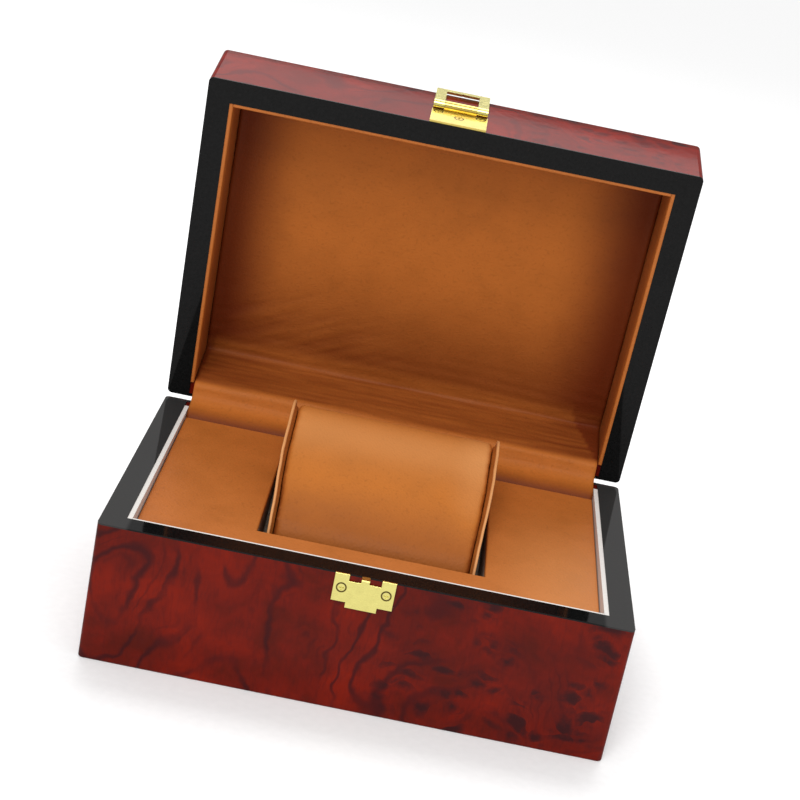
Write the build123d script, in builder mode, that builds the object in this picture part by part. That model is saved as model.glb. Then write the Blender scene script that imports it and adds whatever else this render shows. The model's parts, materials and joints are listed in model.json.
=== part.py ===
from build123d import *
import os
from math import cos, radians, sin, tan

# Presentation box for one watch, modelled with its lid open. Millimetres, +Z up, +X to the
# right, the front faces -Y. The origin is the centre of the base, in the plane it stands on.

# Case
WIDTH = 200.0
DEPTH = 145.0
BODY_HEIGHT = 55.5         # base to rim plane; the hinge axis lies in the rim plane
LID_HEIGHT = 34.5
WALL = 9.4                 # front and side boards
BACK_WALL = 7.0
CORNER = 2.0               # radius of the upright corners
ARRIS = 0.8                # radius of the outer bottom and top edges
RIM_CLEARANCE = 0.1        # each rim stops this short of the rim plane
LIPPING = 0.6              # black strip on the sawn edge of the boards
BOTTOM = 4.0
FELT = 1.2
LID_TOP = 4.5
OPEN_ANGLE = 80.0          # lid angle in the modelled pose, from shut

# Linings
LINER = 1.8                # card boards inside the body
LINER_SINK = 0.2           # the liners stop this far below the rim
FRONT_LINER_SINK = 0.4
BACK_LINER_TOP = 46.0      # the back liner stops under the hinge flap
LID_LINER = 1.5
LID_LINER_EDGE = 0.6       # roundness of the covered liner's free edge
FLOOR_CARD = 1.2
PANEL_CARD = 1.0
PANEL_PAD = 1.2
PANEL_BACK = 61.0
PANEL_FIT = 0.5            # gap between the padded panel and the lid's liners
LEATHER = 0.8              # hinge flap

# Tray and pocket
DECK = 2.5
DECK_FRONT_TOP = 50.3      # height of the deck's top at its front edge
DECK_TILT = 1.5            # degrees, rising to the back
DECK_BACK = 57.2
SLOT_HALF = 44.2
SLOT_FRONT = -40.0
SLOT_BACK = 48.0
DECK_EDGE = 0.8            # roundness of the covered deck's upper edges
DECK_FIT = 0.3             # gap between the deck and the liners
POCKET_CARD = 2.0
SLOPE_BACK = 46.0          # the pocket's sloping floor ends here
SUPPORT_X = (56.0, 84.0)
SUPPORT_Y = (-52.0, 48.0)

# Pillow, a flattened slab that leans back on the pocket's sloping floor
PILLOW_LENGTH = 84.0
PILLOW_THICKNESS = 32.0
PILLOW_RADIUS = 14.0
PILLOW_TILT = 22.6
PILLOW_Y = 6.5
PILLOW_Z = 52.0
PILLOW_HALF = 43.5
BAND_HALF = 41.3
BAND = 1.0                 # leather of the band
CAP_EDGE = 0.6             # the end caps stand this far proud of the band
PILLOW_GAP = 0.4

# Butt hinges
HINGE_SETBACK = 1.3        # axis behind the back face
HINGE_X = 62.0
LEAF_LENGTH = 24.0
LEAF = 0.8
LEAF_DEPTH = 7.5
BARREL = 1.9
HINGE_PIN = 0.75
HINGE_BORE = 0.80
KNUCKLE = 7.8              # width of the lid leaf's one knuckle
KNUCKLE_PLAY = 0.1
KNUCKLE_ROOM = 0.2         # round the other leaf's knuckles
PIN_PROUD = 0.4            # the pin's ends stand this far out of the barrel
LEAF_FIT = 0.05            # play between a leaf and its bed
BARREL_ROOM = 0.25         # between the barrel and the boards
POCKET = 1.0               # the back rims are lowered this much for the flap
LIP = 1.2                  # rim left standing behind that recess

# Hasp and catch
HASP_AXIS_Z = 71.5         # height of the pin when the lid is shut
HASP_OFFSET = 2.0          # pin axis in front of the lid's face
HASP_BARREL = 1.95
HASP_LENGTH = 20.3
HASP_BAR = 3.0
HASP_HALF = 11.1
WINDOW_HALF = 6.8
HASP_LEAN = 3.0            # degrees the loop leans onto the lid's face in the modelled pose
HASP_PLATE = 0.9
PLATE_EDGE = 0.2
HASP_PIN = 0.7
HASP_BORE = 0.75
HASP_LOOP = 1.0
HASP_PLAY = 0.15           # between the base's knuckle and the loop's
HASP_BASE_LIFT = 0.3       # the base's lower edge above the lid's rim
HASP_BASE_GAP = 0.35       # between the base's shoulders and the loop's barrel
HASP_CORNER = 0.6
HASP_PIN_SHY = 0.2         # the pin's ends stop this far inside the loop's
HASP_SCREWS = ((-8.6, 66.6), (0, 63.0), (8.6, 66.6))
DIMPLE = 0.4               # the small notch in the loop's bar
CATCH_HALF = 11.4
CATCH_BOTTOM = 44.2
CATCH_TAB = 2.1
CATCH_TAB_HALF = 5.9
CATCH_SCREW_X = 8.35
CATCH_SCREW_Z = 49.9
NOTCH_DEPTH = 2.5
NOTCH_HALF = 6.0
TONGUE_HALF = 1.5
TONGUE_REACH = 3.5         # how far the catch's tongue stands off the front
TONGUE_ROOT = 52.5         # height where the tongue starts
TONGUE_UNDER = 54.6        # underside of the tongue, which the loop's bar passes under
TONGUE_TIP = 53.7          # the tip is turned down to here
TONGUE = 0.7               # thickness of the turned-down tip
TONGUE_BEVEL = 0.3

# Screws
HEAD = 1.75
SHANK = 0.8
SCREW_LENGTH = 6.0
SCREW_POINT = 1.0
SCREW_CLEAR = 0.02         # play between a screw and its hole
MOUTH = 0.22               # the countersink is this much wider than the head
MOUTH_DEPTH = 0.25
LEAF_SCREW_SETBACK = 2.6   # from the leaf's front edge
LEAF_SCREW_X = 8.0

HALF_W = WIDTH / 2
FRONT = -DEPTH / 2
BACK = DEPTH / 2
INNER_X = HALF_W - WALL
INNER_FRONT = FRONT + WALL
INNER_BACK = BACK - BACK_WALL
HINGE_Y = BACK + HINGE_SETBACK
BODY_RIM = BODY_HEIGHT - RIM_CLEARANCE
LID_RIM = BODY_HEIGHT + RIM_CLEARANCE
TOP = BODY_HEIGHT + LID_HEIGHT
LID_CEILING = TOP - LID_TOP
FLOOR = FELT + BOTTOM

# The lid is drawn where it lies when it is shut and carried to its open place by its frame.
hinge_place = Location((0, HINGE_Y, BODY_HEIGHT))
BODY = Location((0, 0, 0))
LID = hinge_place * Location((0, 0, 0), (-OPEN_ANGLE, 0, 0)) * hinge_place.inverse()

# The loop is drawn hanging over the catch and swung up on its own pin.
hasp_place = Location((0, FRONT - HASP_OFFSET, HASP_AXIS_Z))
HASP = LID * hasp_place * Location((0, 0, 0), (-(180 + HASP_LEAN), 0, 0)) * hasp_place.inverse()

os.makedirs("parts", exist_ok=True)


def save(piece, name):
    piece.part.label = name
    export_step(piece.part, f"parts/{name}.step")


def in_frame(frame, plane):
    """A drafting plane carried into a frame."""
    return Plane(frame * plane.location)


def board(frame, x_range, y_range, z_range, cutters=()):
    """A rectangular board between its limits, less the given solids."""
    centre = ((x_range[0] + x_range[1]) / 2, (y_range[0] + y_range[1]) / 2)
    with BuildPart() as piece:
        with BuildSketch(in_frame(frame, Plane.XY.offset(z_range[0]))):
            with Locations(centre):
                Rectangle(x_range[1] - x_range[0], y_range[1] - y_range[0])
        extrude(amount=z_range[1] - z_range[0])
        for cutter in cutters:
            add(cutter, mode=Mode.SUBTRACT)
    return piece


def profile_bar(frame, points, x_range):
    """A bar along X with the given Y-Z outline."""
    with BuildPart() as piece:
        with BuildSketch(in_frame(frame, Plane.YZ.offset(x_range[0]))):
            with BuildLine():
                Polyline(*points, close=True)
            make_face()
        extrude(amount=x_range[1] - x_range[0])
    return piece


def rod(frame, y, z, x_range, radius):
    """A round bar along X."""
    with BuildPart() as piece:
        with BuildSketch(in_frame(frame, Plane.YZ.offset(x_range[0]))):
            with Locations((y, z)):
                Circle(radius)
        extrude(amount=x_range[1] - x_range[0])
    return piece


# Mitred walls ---------------------------------------------------------------------------------

outer = [(-HALF_W, FRONT), (HALF_W, FRONT), (HALF_W, BACK), (-HALF_W, BACK)]
inner = [(-INNER_X, INNER_FRONT), (INNER_X, INNER_FRONT), (INNER_X, INNER_BACK), (-INNER_X, INNER_BACK)]
SIDES = ("front", "right", "back", "left")


def wall(frame, side, z_range, rounded_end, cutters=()):
    """One mitred wall; its outer arris is rounded at the end that meets the open air."""
    n = SIDES.index(side)
    corners = [outer[n], outer[(n + 1) % 4], inner[(n + 1) % 4], inner[n]]
    with BuildPart() as piece:
        with BuildSketch(in_frame(frame, Plane.XY.offset(z_range[0]))):
            with BuildLine():
                Polyline(*corners, close=True)
            make_face()
            RectangleRounded(WIDTH, DEPTH, CORNER, mode=Mode.INTERSECT)
        extrude(amount=z_range[1] - z_range[0])
        if rounded_end:
            end = piece.faces().sort_by(Axis.Z)[0]
            limit_x = HALF_W - CORNER
            limit_y = -FRONT - CORNER
            rim = end.edges().filter_by(
                lambda e: abs(e.center().X) > limit_x or abs(e.center().Y) > limit_y
            )
            fillet(rim, ARRIS)
        for cutter in cutters:
            add(cutter, mode=Mode.SUBTRACT)
    return piece


# Screws ---------------------------------------------------------------------------------------

CROSS = 2.0
CROSS_WIDTH = 0.4
CROSS_DEPTH = 0.5


def single_screw(length):
    """A countersunk cross-head screw, its head flush with Z = 0 and its shank downwards."""
    shank_end = SCREW_POINT - length
    with BuildPart() as screw:
        with BuildSketch(Plane.XZ):
            with BuildLine():
                Polyline((0, 0), (HEAD, 0), (SHANK, SHANK - HEAD), (SHANK, shank_end), (0, -length),
                         close=True)
            make_face()
        revolve(axis=Axis.Z)
        with BuildSketch():
            Rectangle(CROSS, CROSS_WIDTH)
            Rectangle(CROSS_WIDTH, CROSS)
        extrude(amount=-CROSS_DEPTH, mode=Mode.SUBTRACT)
    return screw.part


def screw_hole(length):
    """The countersunk hole that a screw sits in, with a slightly wider mouth round the head."""
    bore = SHANK + SCREW_CLEAR
    seat = HEAD + SCREW_CLEAR
    mouth = HEAD + MOUTH
    seat_at_mouth = seat - MOUTH_DEPTH
    with BuildPart() as hole:
        with BuildSketch(Plane.XZ):
            with BuildLine():
                Polyline((0, MOUTH_DEPTH), (mouth, MOUTH_DEPTH), (mouth, -MOUTH_DEPTH),
                         (seat_at_mouth, -MOUTH_DEPTH), (bore, bore - seat), (bore, -length), (0, -length),
                         close=True)
            make_face()
        revolve(axis=Axis.Z)
    return hole.part


SCREW = single_screw(SCREW_LENGTH)
SCREW_HOLE = screw_hole(SCREW_LENGTH)


def screws_at(places):
    with BuildPart() as group:
        with Locations(*places):
            add(SCREW)
    return group


def holes_at(places):
    with BuildPart() as group:
        with Locations(*places):
            add(SCREW_HOLE)
    return group.part


# Butt hinges ----------------------------------------------------------------------------------
# direction is -1 for the leaf under the axis, on the body, and 1 for the leaf on the lid.


def leaf_screw_places(frame, x, direction):
    face = BODY_HEIGHT + direction * (POCKET + RIM_CLEARANCE)
    facing = (0, 0, -direction)
    row = HINGE_Y - LEAF_DEPTH + LEAF_SCREW_SETBACK
    across = (x - LEAF_SCREW_X, x + LEAF_SCREW_X)
    return [in_frame(frame, Plane((place, row, face), z_dir=facing)).location for place in across]


def leaf_range(direction):
    """Lower and upper face of a leaf."""
    near = BODY_HEIGHT + direction * (POCKET + RIM_CLEARANCE)
    far = near + direction * LEAF
    return min(near, far), max(near, far)


def hinge_leaf(frame, x, direction):
    low, high = leaf_range(direction)
    ends = (x - LEAF_LENGTH / 2, x + LEAF_LENGTH / 2)
    middle = (x - KNUCKLE / 2, x + KNUCKLE / 2)
    outline = [(HINGE_Y - LEAF_DEPTH, low), (HINGE_Y, low), (HINGE_Y, high), (HINGE_Y - LEAF_DEPTH, high)]
    swing = BARREL + KNUCKLE_ROOM
    with BuildPart() as leaf:
        with BuildSketch(in_frame(frame, Plane.YZ.offset(ends[0]))):
            with BuildLine():
                Polyline(*outline, close=True)
            make_face()
            with Locations((HINGE_Y, BODY_HEIGHT)):
                Circle(BARREL)
        extrude(amount=LEAF_LENGTH)
        if direction < 0:
            gaps = [(middle[0] - KNUCKLE_PLAY, middle[1] + KNUCKLE_PLAY)]
        else:
            gaps = [(ends[0] - 1, middle[0] + KNUCKLE_PLAY), (middle[1] - KNUCKLE_PLAY, ends[1] + 1)]
        for gap in gaps:
            with BuildSketch(in_frame(frame, Plane.YZ.offset(gap[0]))):
                with Locations((HINGE_Y, BODY_HEIGHT)):
                    Rectangle(2 * swing, 2 * swing)
            extrude(amount=gap[1] - gap[0], mode=Mode.SUBTRACT)
        with BuildSketch(in_frame(frame, Plane.YZ.offset(ends[0] - 1))):
            with Locations((HINGE_Y, BODY_HEIGHT)):
                Circle(HINGE_BORE)
        extrude(amount=LEAF_LENGTH + 2, mode=Mode.SUBTRACT)
        add(holes_at(leaf_screw_places(frame, x, direction)), mode=Mode.SUBTRACT)
    return leaf


def hinge_recess(frame, x, direction):
    """What a board loses for one leaf: its bed, room for the barrel and the screw holes."""
    low, high = leaf_range(direction)
    ends = (x - LEAF_LENGTH / 2 - LEAF_FIT, x + LEAF_LENGTH / 2 + LEAF_FIT)
    open_side = POCKET + RIM_CLEARANCE
    if direction > 0:
        bed = (low - open_side, high + LEAF_FIT)
    else:
        bed = (low - LEAF_FIT, high + open_side)
    bed_front = HINGE_Y - LEAF_DEPTH - LEAF_FIT
    with BuildPart() as cut:
        with BuildSketch(in_frame(frame, Plane.YZ.offset(ends[0]))):
            with Locations((HINGE_Y, BODY_HEIGHT)):
                Circle(BARREL + BARREL_ROOM)
            with BuildLine():
                Polyline((bed_front, bed[0]), (HINGE_Y, bed[0]), (HINGE_Y, bed[1]), (bed_front, bed[1]),
                         close=True)
            make_face()
        extrude(amount=ends[1] - ends[0])
        add(holes_at(leaf_screw_places(frame, x, direction)))
    return cut.part


hinge_sides = {"left": -HINGE_X, "right": HINGE_X}
for hinge_side, hinge_x in hinge_sides.items():
    save(hinge_leaf(BODY, hinge_x, -1), f"hinge_{hinge_side}_body_leaf")
    save(hinge_leaf(LID, hinge_x, 1), f"hinge_{hinge_side}_lid_leaf")
    pin_reach = LEAF_LENGTH / 2 + PIN_PROUD
    pin = rod(BODY, HINGE_Y, BODY_HEIGHT, (hinge_x - pin_reach, hinge_x + pin_reach), HINGE_PIN)
    save(pin, f"hinge_{hinge_side}_pin")

body_leaf_screws = [p for x in hinge_sides.values() for p in leaf_screw_places(BODY, x, -1)]
lid_leaf_screws = [p for x in hinge_sides.values() for p in leaf_screw_places(LID, x, 1)]
save(screws_at(body_leaf_screws), "hinge_body_screws")
save(screws_at(lid_leaf_screws), "hinge_lid_screws")

# Hasp and catch -------------------------------------------------------------------------------

CATCH_FACE = FRONT - HASP_PLATE
catch_places = [
    Plane((x, CATCH_FACE, CATCH_SCREW_Z), x_dir=(1, 0, 0), z_dir=(0, -1, 0)).location
    for x in (-CATCH_SCREW_X, CATCH_SCREW_X)
]
hasp_places = [
    in_frame(LID, Plane((x, CATCH_FACE, z), x_dir=(1, 0, 0), z_dir=(0, -1, 0))).location
    for x, z in HASP_SCREWS
]

tongue_tip = FRONT - TONGUE_REACH
with BuildPart() as catch_plate:
    with BuildSketch(Plane.XZ.offset(-FRONT)):
        with BuildLine():
            Polyline(
                (-CATCH_HALF, BODY_RIM), (-NOTCH_HALF, BODY_RIM), (-NOTCH_HALF, BODY_RIM - NOTCH_DEPTH),
                (NOTCH_HALF, BODY_RIM - NOTCH_DEPTH), (NOTCH_HALF, BODY_RIM), (CATCH_HALF, BODY_RIM),
                (CATCH_HALF, CATCH_BOTTOM), (CATCH_TAB_HALF, CATCH_BOTTOM),
                (CATCH_TAB_HALF, CATCH_BOTTOM - CATCH_TAB), (-CATCH_TAB_HALF, CATCH_BOTTOM - CATCH_TAB),
                (-CATCH_TAB_HALF, CATCH_BOTTOM), (-CATCH_HALF, CATCH_BOTTOM), close=True)
        make_face()
    extrude(amount=HASP_PLATE)
    fillet(catch_plate.faces().sort_by(Axis.Y)[0].edges(), PLATE_EDGE)
    with BuildSketch(Plane.YZ.offset(-TONGUE_HALF)):
        with BuildLine():
            Polyline(
                (FRONT, TONGUE_ROOT), (CATCH_FACE, TONGUE_ROOT), (CATCH_FACE, TONGUE_UNDER),
                (tongue_tip + TONGUE, TONGUE_UNDER), (tongue_tip + TONGUE, TONGUE_TIP),
                (tongue_tip, TONGUE_TIP), (tongue_tip, BODY_RIM - TONGUE_BEVEL),
                (tongue_tip + TONGUE_BEVEL, BODY_RIM), (FRONT, BODY_RIM), close=True)
        make_face()
    extrude(amount=2 * TONGUE_HALF)
    add(holes_at(catch_places), mode=Mode.SUBTRACT)
save(catch_plate, "catch_plate")
save(screws_at(catch_places), "catch_screws")

base_low = LID_RIM + HASP_BASE_LIFT
base_top = HASP_AXIS_Z - HASP_BARREL - HASP_BASE_GAP
knuckle_half = WINDOW_HALF - HASP_PLAY
with BuildPart() as hasp_base:
    with BuildSketch(in_frame(LID, Plane.XZ.offset(-FRONT))):
        with Locations((0, (base_low + base_top) / 2)):
            Rectangle(2 * CATCH_HALF, base_top - base_low)
        with Locations((0, (base_top + HASP_AXIS_Z) / 2)):
            Rectangle(2 * knuckle_half, HASP_AXIS_Z - base_top)
    extrude(amount=HASP_PLATE)
    with BuildSketch(in_frame(LID, Plane.YZ.offset(-knuckle_half))):
        with Locations((FRONT - HASP_OFFSET, HASP_AXIS_Z)):
            Circle(HASP_BARREL)
    extrude(amount=2 * knuckle_half)
    with BuildSketch(in_frame(LID, Plane.YZ.offset(-HASP_HALF))):
        with Locations((FRONT - HASP_OFFSET, HASP_AXIS_Z)):
            Circle(HASP_BORE)
    extrude(amount=2 * HASP_HALF, mode=Mode.SUBTRACT)
    add(holes_at(hasp_places), mode=Mode.SUBTRACT)
save(hasp_base, "hasp_base")
save(screws_at(hasp_places), "hasp_screws")
pin_half = HASP_HALF - HASP_PIN_SHY
save(rod(LID, FRONT - HASP_OFFSET, HASP_AXIS_Z, (-pin_half, pin_half), HASP_PIN), "hasp_pin")

loop_end = HASP_AXIS_Z - HASP_LENGTH
window_low = loop_end + HASP_BAR
window_high = HASP_AXIS_Z + HASP_BARREL
with BuildPart() as hasp_loop:
    with BuildSketch(in_frame(HASP, Plane.XZ.offset(HASP_OFFSET - HASP_LOOP / 2 - FRONT))):
        with Locations((0, (loop_end + HASP_AXIS_Z) / 2)):
            RectangleRounded(2 * HASP_HALF, HASP_LENGTH, HASP_CORNER)
        with Locations((0, (window_low + window_high) / 2)):
            Rectangle(2 * WINDOW_HALF, window_high - window_low, mode=Mode.SUBTRACT)
        with Locations((0, window_low)):
            Circle(DIMPLE, mode=Mode.SUBTRACT)
    extrude(amount=HASP_LOOP)
    for knuckle_start in (-HASP_HALF, WINDOW_HALF):
        with BuildSketch(in_frame(HASP, Plane.YZ.offset(knuckle_start))):
            with Locations((FRONT - HASP_OFFSET, HASP_AXIS_Z)):
                Circle(HASP_BARREL)
        extrude(amount=HASP_HALF - WINDOW_HALF)
    with BuildSketch(in_frame(HASP, Plane.YZ.offset(-HASP_HALF - 1))):
        with Locations((FRONT - HASP_OFFSET, HASP_AXIS_Z)):
            Circle(HASP_BORE)
    extrude(amount=2 * HASP_HALF + 2, mode=Mode.SUBTRACT)
save(hasp_loop, "hasp_loop")

# Body case ------------------------------------------------------------------------------------

body_hinge_cuts = [hinge_recess(BODY, x, -1) for x in hinge_sides.values()]
lid_hinge_cuts = [hinge_recess(LID, x, 1) for x in hinge_sides.values()]
flap_bed_x = (-INNER_X, INNER_X)
flap_bed_y = (INNER_BACK - 1, BACK - LIP)
body_flap_bed = board(BODY, flap_bed_x, flap_bed_y, (BODY_RIM - POCKET, BODY_HEIGHT + 1)).part
lid_flap_bed = board(LID, flap_bed_x, flap_bed_y, (BODY_HEIGHT - 1, LID_RIM + POCKET)).part

body_cutters = {
    "front": [holes_at(catch_places)],
    "right": [],
    "back": [body_flap_bed, *body_hinge_cuts],
    "left": [],
}
lid_cutters = {
    "front": [holes_at(hasp_places)],
    "right": [],
    "back": [lid_flap_bed, *lid_hinge_cuts],
    "left": [],
}
for side in SIDES:
    save(wall(BODY, side, (0, BODY_RIM - LIPPING), True, body_cutters[side]), f"body_{side}_board")
    save(wall(LID, side, (LID_RIM + LIPPING, LID_CEILING), False, lid_cutters[side]), f"lid_{side}_board")


def lipping(frame, z_low, cutters):
    """The black strip round the rim, open over the flap's bed at the back."""
    hollow_depth = BACK - LIP - INNER_FRONT
    with BuildPart() as strip:
        with BuildSketch(in_frame(frame, Plane.XY.offset(z_low))):
            RectangleRounded(WIDTH, DEPTH, CORNER)
            with Locations((0, INNER_FRONT + hollow_depth / 2)):
                Rectangle(2 * INNER_X, hollow_depth, mode=Mode.SUBTRACT)
        extrude(amount=LIPPING)
        for cutter in cutters:
            add(cutter, mode=Mode.SUBTRACT)
    return strip


save(lipping(BODY, BODY_RIM - LIPPING, body_hinge_cuts), "body_rim_lipping")
save(lipping(LID, LID_RIM, lid_hinge_cuts), "lid_rim_lipping")

inside_x = (-INNER_X, INNER_X)
inside_y = (INNER_FRONT, INNER_BACK)
save(board(BODY, inside_x, inside_y, (FELT, FLOOR)), "body_bottom_board")
save(board(BODY, inside_x, inside_y, (0, FELT)), "base_felt")

# Body linings ---------------------------------------------------------------------------------

liner_z = (FLOOR, BODY_RIM - LINER_SINK)
lined_x = INNER_X - LINER
lined_front = INNER_FRONT + LINER
save(board(BODY, (-INNER_X, -lined_x), inside_y, liner_z), "body_liner_left")
save(board(BODY, (lined_x, INNER_X), inside_y, liner_z), "body_liner_right")
front_liner_z = (FLOOR, BODY_RIM - FRONT_LINER_SINK)
save(board(BODY, (-lined_x, lined_x), (INNER_FRONT, lined_front), front_liner_z), "body_liner_front")
back_liner_y = (INNER_BACK - LINER, INNER_BACK)
save(board(BODY, (-lined_x, lined_x), back_liner_y, (FLOOR, BACK_LINER_TOP)), "body_liner_back")
floor_top = FLOOR + FLOOR_CARD
save(board(BODY, (-lined_x, lined_x), (lined_front, INNER_BACK - LINER), (FLOOR, floor_top)), "floor_card")

# Tray deck and pocket -------------------------------------------------------------------------

deck_front = lined_front + DECK_FIT
tilt = radians(DECK_TILT)
deck_plane = Plane((0, deck_front, DECK_FRONT_TOP), x_dir=(1, 0, 0), z_dir=(0, -sin(tilt), cos(tilt)))
deck_length = (DECK_BACK - deck_front) / cos(tilt)
slot_from = (SLOT_FRONT - deck_front) / cos(tilt)
slot_to = (SLOT_BACK - deck_front) / cos(tilt)
with BuildPart() as tray_deck:
    with BuildSketch(deck_plane):
        with Locations((0, deck_length / 2)):
            Rectangle(2 * (lined_x - DECK_FIT), deck_length)
        with Locations((0, (slot_from + slot_to) / 2)):
            Rectangle(2 * SLOT_HALF, slot_to - slot_from, mode=Mode.SUBTRACT)
    extrude(amount=-DECK)
    fillet(tray_deck.faces().sort_by(Axis(deck_plane.origin, deck_plane.z_dir))[-1].edges(), DECK_EDGE)
save(tray_deck, "tray_deck")


def deck_underside(y):
    return DECK_FRONT_TOP + (y - deck_front) * tan(tilt) - DECK / cos(tilt)


def under_deck(x_range, y_range, z_low):
    """A board standing on edge whose top follows the deck's underside."""
    points = [(y_range[0], z_low), (y_range[1], z_low)]
    points += [(y, deck_underside(y)) for y in reversed(y_range)]
    return profile_bar(BODY, points, x_range)


pocket_x = SLOT_HALF + POCKET_CARD
front_y = (SLOT_FRONT - POCKET_CARD, SLOT_FRONT)
back_y = (SLOT_BACK, SLOT_BACK + POCKET_CARD)
save(under_deck((-pocket_x, -SLOT_HALF), (front_y[0], back_y[1]), floor_top), "pocket_left_wall")
save(under_deck((SLOT_HALF, pocket_x), (front_y[0], back_y[1]), floor_top), "pocket_right_wall")
save(under_deck((-SLOT_HALF, SLOT_HALF), front_y, floor_top), "pocket_front_wall")
save(under_deck((-SLOT_HALF, SLOT_HALF), back_y, floor_top), "pocket_back_wall")
save(under_deck((-SUPPORT_X[1], -SUPPORT_X[0]), SUPPORT_Y, floor_top), "tray_support_left")
save(under_deck(SUPPORT_X, SUPPORT_Y, floor_top), "tray_support_right")

# The sloping floor lies parallel to the pillow's underside.
lean = radians(PILLOW_TILT)


def slope_height(y, clearance):
    """Height of the line this far under the pillow's underside."""
    drop = (PILLOW_THICKNESS / 2 + clearance) / cos(lean)
    return PILLOW_Z + (y - PILLOW_Y) * tan(lean) - drop


slope_top = PILLOW_GAP + CAP_EDGE
slope_bottom = slope_top + POCKET_CARD
slope_points = [
    (SLOT_FRONT, slope_height(SLOT_FRONT, slope_top)),
    (SLOPE_BACK, slope_height(SLOPE_BACK, slope_top)),
    (SLOPE_BACK, slope_height(SLOPE_BACK, slope_bottom)),
    (SLOT_FRONT, slope_height(SLOT_FRONT, slope_bottom)),
]
save(profile_bar(BODY, slope_points, (-SLOT_HALF, SLOT_HALF)), "pocket_floor")

# Pillow ---------------------------------------------------------------------------------------


def pillow_slice(x_range, grow):
    """A slice of the pillow across X whose outline is offset outwards by grow."""
    draft = Plane((x_range[0], PILLOW_Y, PILLOW_Z), x_dir=(0, cos(lean), sin(lean)), z_dir=(1, 0, 0))
    with BuildPart() as piece:
        with BuildSketch(draft):
            RectangleRounded(
                PILLOW_LENGTH + 2 * grow, PILLOW_THICKNESS + 2 * grow, PILLOW_RADIUS + grow)
        extrude(amount=x_range[1] - x_range[0])
    return piece


band_x = (-BAND_HALF, BAND_HALF)
pillow_core = pillow_slice(band_x, -BAND)
save(pillow_core, "pillow_core")
pillow_outside = pillow_slice(band_x, 0)
with BuildPart() as pillow_band:
    add(pillow_outside.part)
    add(pillow_core.part, mode=Mode.SUBTRACT)
save(pillow_band, "pillow_band")
save(pillow_slice((-PILLOW_HALF, -BAND_HALF), CAP_EDGE), "pillow_left_cap")
save(pillow_slice((BAND_HALF, PILLOW_HALF), CAP_EDGE), "pillow_right_cap")

# Lid ------------------------------------------------------------------------------------------

lid_up = Axis((0, 0, 0), in_frame(LID, Plane.XY).z_dir)


def lining_reach(side, place):
    """How far into the lid a point lies, away from the wall on the given side."""
    if side == "front":
        return -place.Z
    return -abs(place.X)


with BuildPart() as lid_top_board:
    with BuildSketch(in_frame(LID, Plane.XY.offset(LID_CEILING))):
        RectangleRounded(WIDTH, DEPTH, CORNER)
    extrude(amount=LID_TOP)
    fillet(lid_top_board.faces().sort_by(lid_up)[-1].edges(), ARRIS)
save(lid_top_board, "lid_top_board")

lid_lined_x = INNER_X - LID_LINER
lid_lined_front = INNER_FRONT + LID_LINER
lid_liner_z = (LID_RIM + LINER_SINK, LID_CEILING)
lid_liner_places = {
    "left": ((-INNER_X, -lid_lined_x), inside_y),
    "right": ((lid_lined_x, INNER_X), inside_y),
    "front": ((-lid_lined_x, lid_lined_x), (INNER_FRONT, lid_lined_front)),
}
for side, (liner_x, liner_y) in lid_liner_places.items():
    liner = board(LID, liner_x, liner_y, lid_liner_z)
    with liner:
        rim_edges = liner.faces().sort_by(lid_up)[0].edges()
        along = Axis.X if side == "front" else Axis(lid_up.position, in_frame(LID, Plane.XY).y_dir)
        inner_edge = rim_edges.filter_by(along).sort_by(lambda e: lining_reach(side, e.center()))[-1]
        fillet(inner_edge, LID_LINER_EDGE)
    save(liner, f"lid_liner_{side}")

panel_x = (PANEL_FIT - lid_lined_x, lid_lined_x - PANEL_FIT)
panel_y = (lid_lined_front + PANEL_FIT, PANEL_BACK)
card_low = LID_CEILING - PANEL_CARD
save(board(LID, panel_x, panel_y, (card_low, LID_CEILING)), "lid_panel_card")
save(board(LID, panel_x, panel_y, (card_low - PANEL_PAD, card_low)), "lid_panel_pad")

# Hinge flap: leather from behind the tray deck, over both back rims, to the lid's panel -------

flap_half = lid_lined_x - 0.4


def lid_point(y, z):
    """Open place, in the Y-Z plane, of a point of the shut lid."""
    place = LID * Location((0, y, z))
    return place.position.Y, place.position.Z


# The flap drops behind the deck, crosses the two rims and follows the lid's back up to the panel.
flap_line = [
    (58.3, 44.0),
    (58.3, 51.5),
    (62.0, 54.3),
    (68.5, 55.6),
    (71.6, 58.0),
    lid_point(65.3, BODY_HEIGHT - 0.1),
    lid_point(64.8, BODY_HEIGHT + 2.5),
    lid_point(64.3, card_low - 4.5),
    lid_point(62.8, card_low - 1.2),
    lid_point(61.5, card_low - 0.6),
]
with BuildPart() as hinge_flap:
    with BuildSketch(Plane.YZ.offset(-flap_half)):
        with BuildLine():
            centre_line = FilletPolyline(*flap_line, radius=1.2)
            offset(centre_line, amount=LEATHER / 2, side=Side.BOTH, mode=Mode.REPLACE)
        make_face()
    extrude(amount=2 * flap_half)
save(hinge_flap, "hinge_flap")
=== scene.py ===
import json
import math
from collections import namedtuple

import bpy
from mathutils import Euler, Matrix, Vector, noise


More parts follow.
